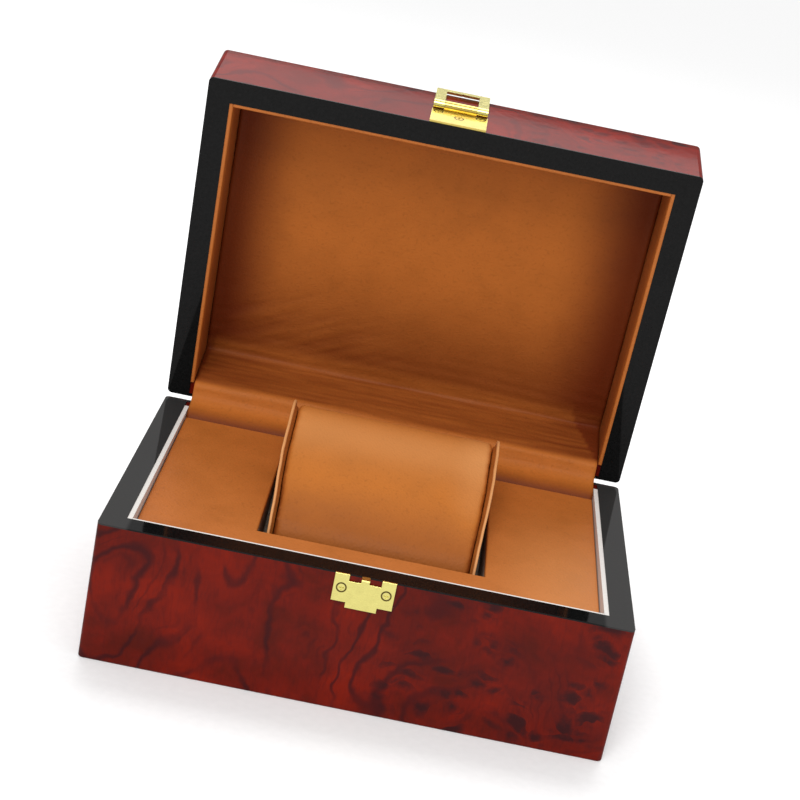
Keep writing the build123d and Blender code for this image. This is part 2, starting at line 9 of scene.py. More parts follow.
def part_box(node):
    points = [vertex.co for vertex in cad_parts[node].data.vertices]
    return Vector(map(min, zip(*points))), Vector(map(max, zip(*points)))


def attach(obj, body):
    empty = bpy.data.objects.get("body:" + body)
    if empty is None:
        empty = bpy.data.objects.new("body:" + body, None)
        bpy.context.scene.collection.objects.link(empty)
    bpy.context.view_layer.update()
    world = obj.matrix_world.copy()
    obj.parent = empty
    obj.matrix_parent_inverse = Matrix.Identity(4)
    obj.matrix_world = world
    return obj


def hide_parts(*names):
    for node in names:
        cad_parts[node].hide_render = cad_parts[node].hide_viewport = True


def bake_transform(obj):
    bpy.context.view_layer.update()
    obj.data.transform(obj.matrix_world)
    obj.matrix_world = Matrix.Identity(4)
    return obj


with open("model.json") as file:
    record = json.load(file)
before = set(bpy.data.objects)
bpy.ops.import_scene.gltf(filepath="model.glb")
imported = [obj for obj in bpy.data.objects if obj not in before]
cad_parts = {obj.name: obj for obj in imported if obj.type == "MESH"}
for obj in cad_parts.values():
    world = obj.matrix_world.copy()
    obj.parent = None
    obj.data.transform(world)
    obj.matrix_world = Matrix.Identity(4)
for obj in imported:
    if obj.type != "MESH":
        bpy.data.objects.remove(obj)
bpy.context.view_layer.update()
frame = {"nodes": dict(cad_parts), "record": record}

# Wooden presentation box for one watch, open. The hard parts are the frame's own nodes with
# detailed materials. The leather lining and the strap pillow are built here.

scene = bpy.context.scene
scene.view_settings.view_transform = "Standard"

MM = 0.001
joints = {joint["name"]: joint for joint in frame["record"]["behaviour"]["joints"]}
HINGE = Vector(joints["lid_hinge"]["pos_m"])
OPEN_ANGLE = math.radians(joints["lid_hinge"]["range_deg"][1])
OPENING = Matrix.Translation(HINGE) @ Matrix.Rotation(-OPEN_ANGLE, 4, "X") @ Matrix.Translation(-HINGE)
CLOSING = OPENING.inverted()


def shut_box(node):
    """The box of a lid node in the place that it has when the lid is shut."""
    corners = [CLOSING @ vertex.co for vertex in frame["nodes"][node].data.vertices]
    low = Vector([min(corner[n] for corner in corners) for n in range(3)])
    high = Vector([max(corner[n] for corner in corners) for n in range(3)])
    return low, high


# Camera, floor and light --------------------------------------------------------------------------

CAMERA_PLACE = (-0.0040, -0.7151, 0.3467)
CAMERA_PITCH = 20.79       # degrees below the horizon
CAMERA_YAW = 0.64          # degrees to the right
CAMERA_ROLL = 11.73        # degrees
SENSOR_WIDTH = 36.0
LENS = 87.13
SHIFT_UP = 0.075           # as a share of the picture

FLOOR_SIZE = 30
FLOOR_GRAIN = 300
FLOOR_TONES = [(0.3, (0.90, 0.90, 0.90)), (0.7, (0.93, 0.93, 0.93))]

WORLD_STRENGTH = 0.60
KEY_STRENGTH = 1.9
KEY_SPREAD = 36            # degrees across, as a large softbox
KEY_HEIGHT = 47            # degrees above the horizon
KEY_SIDE = 10              # degrees to the left of the front

Softbox = namedtuple("Softbox", "name place target size power")
SOFTBOXES = [
    Softbox("top", (0.0, 0.48, 1.05), (0, 0.0, 0.06), (0.8, 0.45), 5.0),
    Softbox("back", (0.05, 1.0, 1.0), (0, 0.1, 0.2), (0.9, 0.45), 2.7),
]


def make_camera():
    data = bpy.data.cameras.new("camera")
    data.sensor_width = SENSOR_WIDTH
    data.lens = LENS
    data.shift_y = SHIFT_UP
    camera = bpy.data.objects.new("camera", data)
    scene.collection.objects.link(camera)
    turn = Matrix.Rotation(-math.radians(CAMERA_YAW), 4, "Z")
    tilt = Matrix.Rotation(math.radians(90 - CAMERA_PITCH), 4, "X")
    roll = Matrix.Rotation(math.radians(CAMERA_ROLL), 4, "Z")
    camera.matrix_world = Matrix.Translation(CAMERA_PLACE) @ turn @ tilt @ roll
    scene.camera = camera


def make_softbox(box):
    data = bpy.data.lights.new(box.name, "AREA")
    data.shape = "RECTANGLE"
    data.size, data.size_y = box.size
    data.energy = box.power
    light = bpy.data.objects.new(box.name, data)
    light.location = box.place
    aim = Vector(box.target) - Vector(box.place)
    light.rotation_euler = aim.to_track_quat("-Z", "Y").to_euler()
    scene.collection.objects.link(light)


def make_floor():
    bpy.ops.mesh.primitive_plane_add(size=FLOOR_SIZE)
    floor = bpy.context.object
    floor.name = "floor"
    material, tree, shader = new_material("floor_paper")
    grain = noise_value(tree, object_place(tree), FLOOR_GRAIN, detail=4)
    fill(tree, shader.inputs["Base Color"], ramp(tree, grain, FLOOR_TONES))
    shader.inputs["Roughness"].default_value = 0.9
    shader.inputs["Specular IOR Level"].default_value = 0.1
    floor.data.materials.append(material)


def make_light():
    world = bpy.data.worlds.new("studio")
    world.use_nodes = True
    background = world.node_tree.nodes["Background"]
    background.inputs["Color"].default_value = (1, 1, 1, 1)
    background.inputs["Strength"].default_value = WORLD_STRENGTH
    scene.world = world
    key = bpy.data.lights.new("key", "SUN")
    key.energy = KEY_STRENGTH
    key.angle = math.radians(KEY_SPREAD)
    light = bpy.data.objects.new("key", key)
    light.rotation_euler = (math.radians(90 - KEY_HEIGHT), 0, -math.radians(KEY_SIDE))
    scene.collection.objects.link(light)
    for box in SOFTBOXES:
        make_softbox(box)


# Shader helpers -----------------------------------------------------------------------------------


def new_material(name):
    material = bpy.data.materials.new(name)
    material.use_nodes = True
    return material, material.node_tree, material.node_tree.nodes["Principled BSDF"]


def fill(tree, socket, value):
    """Links a socket to another one, or sets it to a plain value."""
    if isinstance(value, bpy.types.NodeSocket):
        tree.links.new(value, socket)
    else:
        socket.default_value = value


def put(tree, kind, inputs, **settings):
    """Adds a node, sets its properties and fills its sockets."""
    made = tree.nodes.new(kind)
    for name, value in settings.items():
        setattr(made, name, value)
    for name, value in inputs.items():
        fill(tree, made.inputs[name], value)
    return made


def stretched(tree, place, scale):
    return put(tree, "ShaderNodeMapping", {"Vector": place, "Scale": scale}).outputs[0]


def object_place(tree, scale=(1, 1, 1)):
    """Object coordinates, which are the frame's own metres, scaled."""
    return stretched(tree, tree.nodes.new("ShaderNodeTexCoord").outputs["Object"], scale)


def one_axis(tree, place, axis):
    return put(tree, "ShaderNodeSeparateXYZ", {"Vector": place}).outputs[axis]


def noise_node(tree, place, scale, detail=2.0, roughness=0.5, distortion=0.0):
    inputs = {"Vector": place, "Scale": scale, "Detail": detail, "Roughness": roughness,
              "Distortion": distortion}
    return put(tree, "ShaderNodeTexNoise", inputs)


def noise_value(tree, place, scale, detail=2.0, roughness=0.5, distortion=0.0):
    return noise_node(tree, place, scale, detail, roughness, distortion).outputs["Fac"]


def cells(tree, place, scale, feature="F1", output="Distance"):
    made = put(tree, "ShaderNodeTexVoronoi", {"Vector": place, "Scale": scale}, feature=feature)
    return made.outputs[output]


def calc(tree, operation, *values):
    made = tree.nodes.new("ShaderNodeMath")
    made.operation = operation
    for n, value in enumerate(values):
        fill(tree, made.inputs[n], value)
    return made.outputs[0]


def times(tree, first, *others):
    product = first
    for value in others:
        product = calc(tree, "MULTIPLY", product, value)
    return product


def vector_calc(tree, operation, inputs, output="Vector"):
    return put(tree, "ShaderNodeVectorMath", inputs, operation=operation).outputs[output]


def fade(tree, value, start, end, low=0.0, high=1.0):
    """low before start, high after end, with a smooth step between them."""
    inputs = {"Value": value, "From Min": start, "From Max": end, "To Min": low, "To Max": high}
    return put(tree, "ShaderNodeMapRange", inputs, interpolation_type="SMOOTHSTEP").outputs[0]


def ramp(tree, value, stops):
    made = tree.nodes.new("ShaderNodeValToRGB")
    elements = made.color_ramp.elements
    while len(elements) < len(stops):
        elements.new(0.5)
    for element, (position, colour) in zip(elements, stops):
        element.position = position
        element.color = (*colour, 1.0)
    fill(tree, made.inputs[0], value)
    return made.outputs[0]


def mix(tree, share, first, second):
    """first where share is 0, second where it is 1; either is a socket or a plain colour."""
    made = tree.nodes.new("ShaderNodeMix")
    made.data_type = "RGBA"
    fill(tree, made.inputs["Factor"], share)
    for n, colour in ((6, first), (7, second)):
        plain = not isinstance(colour, bpy.types.NodeSocket)
        fill(tree, made.inputs[n], (*colour, 1.0) if plain else colour)
    return made.outputs[2]


def bump(tree, height, distance, strength=1.0, under=None):
    inputs = {"Height": height, "Distance": distance, "Strength": strength}
    if under is not None:
        inputs["Normal"] = under
    return put(tree, "ShaderNodeBump", inputs).outputs[0]


def shaded(tone, share):
    return tuple(share * value for value in tone)


# Materials ----------------------------------------------------------------------------------------
# Noise scales are marks per metre. Bump heights and places are in metres. A fade is a pair: the
# value where a mark starts, and the value where it is full.

LACQUER_ROUGHNESS = 0.05
LACQUER_IOR = 1.36
ORANGE_PEEL_SCALE = 260
ORANGE_PEEL_HEIGHT = 0.00003


def lacquer(tree, shader, weight):
    """Clear polished lacquer over whatever the base is, with a faint orange peel."""
    shader.inputs["Roughness"].default_value = 0.5
    shader.inputs["Specular IOR Level"].default_value = 0.0
    shader.inputs["Coat Weight"].default_value = weight
    shader.inputs["Coat Roughness"].default_value = LACQUER_ROUGHNESS
    shader.inputs["Coat IOR"].default_value = LACQUER_IOR
    peel = noise_value(tree, object_place(tree), ORANGE_PEEL_SCALE)
    fill(tree, shader.inputs["Coat Normal"], bump(tree, peel, ORANGE_PEEL_HEIGHT, strength=0.15))


WOOD_TONES = [
    (0.32, (0.076, 0.0055, 0.0020)),
    (0.49, (0.122, 0.0062, 0.0020)),
    (0.66, (0.172, 0.008, 0.0016)),
]
# painted light: a paler veneer tone, mixed in for the lid's front board, which faces up into the light
PAINTED_LIGHT_WOOD = (0.31, 0.016, 0.010)
BLOTCH_TONE = (0.052, 0.005, 0.004)
FIBRE_TONE = (0.060, 0.005, 0.004)
HAIR_TONE = (0.040, 0.004, 0.004)
LINE_TONE = (0.030, 0.004, 0.005)
HALO_TONE = (0.046, 0.005, 0.005)
EYE_TONE = (0.022, 0.005, 0.006)
BLOTCH_STRENGTH = 0.42
FIBRE_STRENGTH = 0.34
HAIR_STRENGTH = 0.40
LINE_STRENGTH = 0.78
HALO_STRENGTH = 0.45
EYE_STRENGTH = 0.80
VENEER_GLOSS = 0.35
SWAY_SCALE = 42.0
SWAY_REACH = 0.020
FIGURE_STRETCH = (1.25, 1.0, 0.62)
FIGURE_SCALE = 12.0
LINES_PER_SWELL = 30.0
LINE_FADE = (0.34, 0.03)
LINE_GAPS_SCALE = 34.0
LINE_GAPS_FADE = (0.36, 0.56)
FAINTEST_LINE = 0.12
LINES_X = (0.01, 0.05)     # where the lines give way to the eyes
LINES_RIGHT = 0.28
HAIRS_PER_SWELL = 75.0
HAIR_SHIFT = 0.4
HAIR_FADE = (0.45, 0.05)
HAIR_GAPS_SCALE = 60.0
HAIR_GAPS_FADE = (0.50, 0.70)
EYE_STRETCH = (0.52, 0.9, 1.0)
EYE_SCALE = 225.0
EYE_CHANCE = (0.10, 0.90)
EYE_REACH = (0.02, 0.54)
RAGGED_SCALE = 700.0
RAGGED_REACH = 0.40
CLUSTER_SCALE = 31.0
CLUSTER_FADE = (0.44, 0.52)
EYES_X = (-0.005, 0.030)
EYE_FADE = (0.12, -0.32)
HALO_FADE = (0.42, -0.1)
WOOD_SCALE = 46.0
BLOTCH_SCALE = 17.0
BLOTCH_FADE = (0.52, 0.70)
FIBRE_SCALE = 900.0
FIBRE_STRETCH = (1.0, 1.0, 0.22)
FIBRE_FADE = (0.45, 0.72)


def swayed(tree, place):
    """The place moved about by a broad noise, which bends whatever is drawn there."""
    sway = noise_node(tree, place, SWAY_SCALE, detail=3.0).outputs["Color"]
    sway = vector_calc(tree, "SUBTRACT", {0: sway, 1: (0.5, 0.5, 0.5)})
    sway = vector_calc(tree, "SCALE", {0: sway, "Scale": SWAY_REACH})
    return vector_calc(tree, "ADD", {0: place, 1: sway})


def figure_lines(tree, place, bent, across):
    """Contours of one noise: dark wavy lines that fade to the right, and hairs between them."""
    steep = stretched(tree, bent, FIGURE_STRETCH)
    field = noise_value(tree, steep, FIGURE_SCALE, detail=1.0, roughness=0.35)
    contour = calc(tree, "PINGPONG", times(tree, field, LINES_PER_SWELL), 1.0)
    line = fade(tree, contour, *LINE_FADE)
    gaps = fade(tree, noise_value(tree, place, LINE_GAPS_SCALE), *LINE_GAPS_FADE, low=FAINTEST_LINE)
    line = times(tree, line, gaps, fade(tree, across, *LINES_X, low=1.0, high=LINES_RIGHT))
    contour = calc(tree, "ADD", times(tree, field, HAIRS_PER_SWELL), HAIR_SHIFT)
    hair = fade(tree, calc(tree, "PINGPONG", contour, 1.0), *HAIR_FADE)
    hair = times(tree, hair, fade(tree, noise_value(tree, place, HAIR_GAPS_SCALE), *HAIR_GAPS_FADE))
    return line, hair


def burl_eyes(tree, place, bent, across):
    """Clusters of small ragged eyes of uneven size towards the right, and the halo round each."""
    squeezed = stretched(tree, bent, EYE_STRETCH)
    centre = cells(tree, squeezed, EYE_SCALE)
    chance = cells(tree, squeezed, EYE_SCALE, output="Color")
    chance = put(tree, "ShaderNodeSeparateColor", {"Color": chance}).outputs[0]
    smallest, largest = EYE_REACH
    reach = fade(tree, chance, *EYE_CHANCE, low=smallest, high=largest)
    ragged = calc(tree, "SUBTRACT", noise_value(tree, place, RAGGED_SCALE), 0.5)
    ragged = times(tree, ragged, RAGGED_REACH)
    distance = calc(tree, "ADD", calc(tree, "SUBTRACT", centre, reach), ragged)
    cluster = fade(tree, noise_value(tree, place, CLUSTER_SCALE, detail=1.0), *CLUSTER_FADE)
    cluster = times(tree, cluster, fade(tree, across, *EYES_X))
    eye = times(tree, fade(tree, distance, *EYE_FADE), cluster)
    halo = times(tree, fade(tree, distance, *HALO_FADE), cluster)
    return eye, halo


def burl_veneer(name, painted_light=0.0):
    """Red burl: dark wavy figure lines, and clusters of small dark eyes towards the right."""
    material, tree, shader = new_material(name)
    place = object_place(tree)
    bent = swayed(tree, place)
    across = one_axis(tree, bent, "X")
    line, hair = figure_lines(tree, place, bent, across)
    eye, halo = burl_eyes(tree, place, bent, across)
    wood = ramp(tree, noise_value(tree, bent, WOOD_SCALE, detail=4.0, roughness=0.62), WOOD_TONES)
    blotch = noise_value(tree, bent, BLOTCH_SCALE, roughness=0.6)
    wood = mix(tree, fade(tree, blotch, *BLOTCH_FADE, high=BLOTCH_STRENGTH), wood, BLOTCH_TONE)
    fibre = object_place(tree, FIBRE_STRETCH)
    fibre = noise_value(tree, fibre, FIBRE_SCALE, detail=3.0, roughness=0.6)
    wood = mix(tree, fade(tree, fibre, *FIBRE_FADE, high=FIBRE_STRENGTH), wood, FIBRE_TONE)
    marks = [(hair, HAIR_STRENGTH, HAIR_TONE), (line, LINE_STRENGTH, LINE_TONE),
             (halo, HALO_STRENGTH, HALO_TONE), (eye, EYE_STRENGTH, EYE_TONE)]
    for mark, strength, tone in marks:
        wood = mix(tree, times(tree, mark, strength), wood, tone)
    # painted light: painted_light mixes the veneer towards a paler tone
    fill(tree, shader.inputs["Base Color"], mix(tree, painted_light, wood, PAINTED_LIGHT_WOOD))
    lacquer(tree, shader, VENEER_GLOSS)
    return material


BLACK_TONES = [(0.4, (0.003, 0.003, 0.003)), (0.8, (0.008, 0.008, 0.008))]
REFLECTION_GREY = (0.09, 0.088, 0.086)
REFLECTION_X = (0.0880, 0.0900)  # where the side boards begin
DUST_SCALE = 900.0


def black_lacquer(name, weight, painted_reflection=0.0):
    """Black lacquer; painted_reflection greys it on the side boards, a painted reflection of the bright
    surroundings that they face.
    """
    material, tree, shader = new_material(name)
    place = object_place(tree)
    black = ramp(tree, noise_value(tree, place, DUST_SCALE, detail=5.0, roughness=0.7), BLACK_TONES)
    sideways = calc(tree, "ABSOLUTE", one_axis(tree, place, "X"))
    # painted reflection: grey on the side boards
    reflected_sides = fade(tree, sideways, *REFLECTION_X, high=painted_reflection)
    fill(tree, shader.inputs["Base Color"], mix(tree, reflected_sides, black, REFLECTION_GREY))
    lacquer(tree, shader, weight)
    return material


# painted light: this attribute carries painted shade and painted highlights on the lining and cushion, and
# the paler cut edge on the pillow's ends
PAINTED_LIGHT_AND_TONE = "painted_light_and_tone"              # a point attribute of the leather pieces
MOTTLE_SCALE = 55.0
MOTTLE_DARK = 0.90         # of the leather's tone
MOTTLE_LIGHT = 1.06
PEBBLE_SCALE = 1150.0
PEBBLE_HEIGHT = 0.00015
PORE_FADE = (0.50, 0.78)
PORE_STRENGTH = 0.30
CREASE_SCALE = 620.0
CREASE_STRETCH = (0.24, 1.0, 1.0)
CREASE_FADE = (0.50, 0.74)
CREASE_STRENGTH = 0.20
CREASE_HEIGHT = 0.00020
HOLLOW_TONE = 0.6          # of the leather's tone, in pores and creases
SWELL_SCALE = 210.0
SWELL_HEIGHT = 0.00022
LEATHER_ROUGHNESS = (0.46, 0.60)


def leather(name, tone, creases, gloss=0.26, positive_tone=None, highlight_tone=None, share=None):
    """Fine-grained dyed leather. creases gives how strongly stretch lines along X show.

    The piece's own painted_light_and_tone attribute turns its colour to positive_tone where it is
    positive, to highlight_tone where negative. On the lining, liners and cushion this is painted shade and
    painted highlight, on the deck painted light, and on the pillow's ends the paler cut edge. share, if
    given, is used instead: it makes that value from the place.
    """
    material, tree, shader = new_material(name)
    place = object_place(tree)
    mottle = noise_value(tree, place, MOTTLE_SCALE, detail=6.0, roughness=0.60)
    dark = shaded(tone, MOTTLE_DARK)
    light = shaded(tone, MOTTLE_LIGHT)
    hollow = shaded(tone, HOLLOW_TONE)
    colour = ramp(tree, mottle, [(0.30, dark), (0.5, tone), (0.70, light)])
    pebble = cells(tree, place, PEBBLE_SCALE, "SMOOTH_F1")
    colour = mix(tree, times(tree, fade(tree, pebble, *PORE_FADE), PORE_STRENGTH), colour, hollow)
    lines = noise_value(tree, object_place(tree, CREASE_STRETCH), CREASE_SCALE, detail=4.0,
                        roughness=0.62, distortion=1.8)
    colour = mix(tree, fade(tree, lines, *CREASE_FADE, high=CREASE_STRENGTH * creases), colour, hollow)
    # painted light: the attribute or share shifts the colour to painted shade, painted light or a painted
    # highlight; on the pillow's ends to the paler cut edge
    if positive_tone is not None:
        if share is None:
            tone_shift = put(tree, "ShaderNodeAttribute", {}, attribute_name=PAINTED_LIGHT_AND_TONE).outputs["Fac"]
        else:
            tone_shift = share(tree)
        colour = mix(tree, tone_shift, colour, positive_tone)
        if highlight_tone is not None:
            colour = mix(tree, times(tree, tone_shift, -1.0), colour, highlight_tone)
    fill(tree, shader.inputs["Base Color"], colour)
    smoothest, roughest = LEATHER_ROUGHNESS
    fill(tree, shader.inputs["Roughness"], fade(tree, mottle, 0.2, 0.8, smoothest, roughest))
    shader.inputs["Specular IOR Level"].default_value = gloss
    normal = bump(tree, noise_value(tree, place, SWELL_SCALE, detail=3.0), SWELL_HEIGHT, strength=0.5)
    normal = bump(tree, pebble, PEBBLE_HEIGHT, strength=0.60, under=normal)
    normal = bump(tree, lines, CREASE_HEIGHT, strength=0.5 * creases, under=normal)
    fill(tree, shader.inputs["Normal"], normal)
    return material


RIM_SHADE = 0.42           # how far the liners are darkened beside the panel
RIM_SHADE_DEPTH = (0.3 * MM, 12.0 * MM)
# painted light: the deck is paler towards its front right corner, as if lit more there
DECK_PAINTED_LIGHT = 0.42
DECK_LIT_X = (0.035, 0.075)
DECK_LIT_Y = (0.045, -0.030)


def inside_lid(tree):
    """Grows from nothing on the lid's rims to its panel."""
    up = OPENING.to_3x3() @ Vector((0, 0, 1))
    depth = vector_calc(tree, "DOT_PRODUCT", {0: object_place(tree), 1: up}, "Value")
    rims = HINGE.dot(up)
    start, end = RIM_SHADE_DEPTH
    return fade(tree, depth, rims + start, rims + end, high=RIM_SHADE)


def lit_front_right(tree):
    """Painted light: grows towards the deck's front right corner, which is paler as if lit more there."""
    place = object_place(tree)
    sideways = fade(tree, one_axis(tree, place, "X"), *DECK_LIT_X)
    return times(tree, sideways, fade(tree, one_axis(tree, place, "Y"), *DECK_LIT_Y, high=DECK_PAINTED_LIGHT))


def rough_stuff(name, dark, light, scale, height, stretch=(1, 1, 1)):
    """A dull material whose colour and relief come from one noise: card, board, foam or felt."""
    material, tree, shader = new_material(name)
    grain = noise_value(tree, object_place(tree, stretch), scale, detail=4.0, roughness=0.65)
    fill(tree, shader.inputs["Base Color"], ramp(tree, grain, [(0.32, dark), (0.68, light)]))
    shader.inputs["Roughness"].default_value = 0.9
    shader.inputs["Specular IOR Level"].default_value = 0.25
    fill(tree, shader.inputs["Normal"], bump(tree, grain, height, strength=0.6))
    return material


BRASS = (0.72, 0.65, 0.215)
WARM_BRASS = (0.60, 0.46, 0.12)
# SHADED_BRASS is the painted shade round and in the screw heads
SHADED_BRASS = (0.10, 0.065, 0.018)
PLATE_ROUGHNESS = (0.18, 0.32)
CLOUD_SCALE = 260.0
CLOUD_DARK = 0.90          # of the brass's tone
HAIRLINE_STRETCH = (0.05, 1.0, 1.0)
HAIRLINE_SCALE = 5200.0
HAIRLINE_HEIGHT = 0.000006
RING_INSIDE = (0.72, 0.92) # in radii of the screw's head
RING_OUTSIDE = (1.24, 1.06)
SOCKET_FADE = (0.36, 0.12)
SOCKET_SHADE = 0.55


def gold_brass(name, tone, heads=()):
    """Polished plated brass with hairline polishing marks and slight clouding.

    heads are screw heads, as (middle of the face, radius): painted shade darkens the ring round each of
    them, where the countersink would be shaded, and the socket in its middle.
    """
    material, tree, shader = new_material(name)
    place = object_place(tree)
    cloud = noise_value(tree, place, CLOUD_SCALE, detail=4.0, roughness=0.6)
    colour = ramp(tree, cloud, [(0.3, shaded(tone, CLOUD_DARK)), (0.7, tone)])
    for middle, radius in heads:
        away = vector_calc(tree, "DISTANCE", {0: place, 1: middle}, "Value")
        away = calc(tree, "DIVIDE", away, radius)
        ring = times(tree, fade(tree, away, *RING_INSIDE), fade(tree, away, *RING_OUTSIDE))
        socket = fade(tree, away, *SOCKET_FADE, high=SOCKET_SHADE)
        # painted shade: darker brass in the ring round each screw head and in its socket
        colour = mix(tree, calc(tree, "MAXIMUM", ring, socket), colour, SHADED_BRASS)
    fill(tree, shader.inputs["Base Color"], colour)
    shader.inputs["Metallic"].default_value = 1.0
    hair = noise_value(tree, object_place(tree, HAIRLINE_STRETCH), HAIRLINE_SCALE)
    smoothest, roughest = PLATE_ROUGHNESS
    fill(tree, shader.inputs["Roughness"], fade(tree, hair, 0.3, 0.8, smoothest, roughest))
    fill(tree, shader.inputs["Normal"], bump(tree, hair, HAIRLINE_HEIGHT, strength=0.4))
    return material


TAN = (0.43, 0.127, 0.0215)
CUSHION_TAN = (0.47, 0.148, 0.024)
# SHADED_TAN is the dark tan of painted shade on the lining, liners and cushion, and of the lid's darker
# back wall
SHADED_TAN = (0.105, 0.013, 0.003)
PALE_TAN = (0.66, 0.30, 0.11)
# HIGHLIGHT_TAN is a painted highlight on the cushion and painted light on the deck
HIGHLIGHT_TAN = (0.62, 0.26, 0.085)
FAINT_CREASES = 0.15
CLEAR_CREASES = 0.8
DULL_GLOSS = 0.10
SOFT_GLOSS = 0.12
materials = {
    "burl_veneer": burl_veneer("burl_veneer_gloss"),
    # painted reflection: the body's side rims are greyed
    "black_lacquer": black_lacquer("black_lacquer_gloss_painted_reflection", weight=0.50, painted_reflection=0.30),
    "plain_board": rough_stuff("plain_board_matte", (0.36, 0.24, 0.14), (0.50, 0.36, 0.22),
                               scale=160, height=0.0001, stretch=(0.08, 1, 1)),
    "cream_card": rough_stuff("cream_card_matte", (0.64, 0.61, 0.58), (0.72, 0.70, 0.67),
                              scale=1400, height=0.00003),
    "box_card": rough_stuff("box_card_matte", (0.26, 0.21, 0.16), (0.38, 0.31, 0.25),
                            scale=700, height=0.00006),
    "tan_leather": leather("tan_leather_grain", TAN, FAINT_CREASES),
    "foam": rough_stuff("foam_cells", (0.52, 0.48, 0.36), (0.78, 0.74, 0.60),
                        scale=1600, height=0.0002),
    "black_felt": rough_stuff("black_felt_nap", (0.004, 0.004, 0.004), (0.015, 0.015, 0.015),
                              scale=2600, height=0.0002),
    "gold_brass": gold_brass("gold_brass_plate", BRASS),
}
# the lining's painted shade and painted highlight come through its painted_light_and_tone attribute
lining_leather = leather("tan_leather_stretched_painted_shade", TAN, CLEAR_CREASES, DULL_GLOSS, positive_tone=SHADED_TAN)
# the cushion's painted shade and painted highlight come through its painted_light_and_tone attribute
cushion_leather = leather("tan_leather_soft_painted_light", CUSHION_TAN, FAINT_CREASES, SOFT_GLOSS,
                          positive_tone=SHADED_TAN, highlight_tone=HIGHLIGHT_TAN)
deck_leather = leather("tan_leather_deck_painted_light", TAN, FAINT_CREASES, positive_tone=HIGHLIGHT_TAN, share=lit_front_right)
liner_leather = leather("tan_leather_liner", TAN, FAINT_CREASES, positive_tone=SHADED_TAN, share=inside_lid)
edge_leather = leather("tan_leather_cut_edge", TAN, FAINT_CREASES, positive_tone=PALE_TAN)

SCREW_GAP = 2 * MM


def screw_heads(node, opening):
    """Each screw of a node as (middle of its face, head's radius).

    opening takes the screws from the place where they point along Y to their own.
    """
    shut = opening.inverted()
    vertices = frame["nodes"][node].data.vertices
    points = sorted((shut @ vertex.co for vertex in vertices), key=lambda point: point.x)
    groups = [[points[0]]]
    for point in points[1:]:
        if point.x - groups[-1][-1].x > SCREW_GAP:
            groups.append([])
        groups[-1].append(point)
    heads = []
    for group in groups:
        low, high = (Vector([pick(point[n] for point in group) for n in range(3)]) for pick in (min, max))
        middle = Vector(((low.x + high.x) / 2, low.y, (low.z + high.z) / 2))
        heads.append((opening @ middle, (high.x - low.x) / 2))
    return heads


def dress_nodes():
    """Every CAD node gets the detailed material of its slot, or one of its own where it differs."""
    catch = gold_brass("gold_brass_catch_painted_shade", BRASS, screw_heads("catch_screws", Matrix.Identity(4)))
    hasp = gold_brass("gold_brass_hasp_painted_shade", WARM_BRASS, screw_heads("hasp_screws", OPENING))
    special = {
        "catch_plate": catch,
        "catch_screws": catch,
        "hasp_base": hasp,
        "hasp_screws": hasp,
        "lid_rim_lipping": black_lacquer("black_lacquer_satin", weight=0.40),
        # painted light: the lid's front board is a paler copy of the veneer, as it faces up into the top
        # light
        "lid_front_board": burl_veneer("burl_veneer_painted_light", painted_light=0.22),
        "tray_deck": deck_leather,
        "lid_liner_left": liner_leather,
        "lid_liner_right": liner_leather,
    }
    for part in frame["record"]["subparts"]:
        node = frame["nodes"][part["node"]]
        chosen = special.get(part["node"], materials[part["material_slot"]])
        for slot in node.material_slots:
            slot.material = chosen


# Mesh helpers -------------------------------------------------------------------------------------


def new_piece(name, vertices, faces, material):
    mesh = bpy.data.meshes.new(name)
    mesh.from_pydata(vertices, [], faces)
    mesh.update()
    mesh.shade_smooth()
    mesh.materials.append(material)
    piece = bpy.data.objects.new(name, mesh)
    scene.collection.objects.link(piece)
    return piece


def set_painted_light_and_tone(piece, painted_light_and_tone):
    """Gives the leather its painted light and tone value at each point of the piece: painted shade and
    painted highlights on the lining and cushion, the paler cut edge on the pillow's ends.
    """
    piece.data.attributes.new(PAINTED_LIGHT_AND_TONE, "FLOAT", "POINT").data.foreach_set("value", painted_light_and_tone)


def apply_modifiers(piece):
    """Puts the modifiers' result into the piece's own mesh."""
    graph = bpy.context.evaluated_depsgraph_get()
    graph.update()
    finished = bpy.data.meshes.new_from_object(piece.evaluated_get(graph))
    piece.modifiers.clear()
    piece.data = finished
    finished.shade_smooth()


def distances(points):
    """How far along an open line each of its points is."""
    along = [0.0]
    for first, second in zip(points, points[1:]):
        along.append(along[-1] + (second - first).length)
    return along


def resampled(points, step):
    """The same open line with points at equal steps along it."""
    along = distances(points)
    count = max(2, round(along[-1] / step))
    line = []
    n = 0
    for k in range(count + 1):
        wanted = along[-1] * k / count
        while n < len(points) - 2 and along[n + 1] < wanted:
            n += 1
        share = (wanted - along[n]) / (along[n + 1] - along[n])
        line.append(points[n].lerp(points[n + 1], share))
    return line


def softened(points, passes):
    """Rounds an open line's corners, keeping its ends."""
    line = list(points)
    for _ in range(passes):
        inside = [(a + 2 * b + c) / 4 for a, b, c in zip(line, line[1:], line[2:])]
        line = [line[0], *inside, line[-1]]
    return line


def smooth_step(value, start, end):
    share = min(1.0, max(0.0, (value - start) / (end - start)))
    return share * share * (3 - 2 * share)


# Leather lining: from behind the tray deck, over both rims and up the lid -------------------------
# Places along it are s, in metres from its end behind the deck; x is across. edge is the distance
# to its nearer side. In painted_light_and_tone, 0 is the plain tan and 1 the dark shaded tan: painted
# shade in the lid's corners, along the panel's sides and ends and behind the deck, a painted highlight
# along the panel's lower ledge, and a darker back wall. Fades are in metres too, before and after a
# place along the lining where they go by its name.

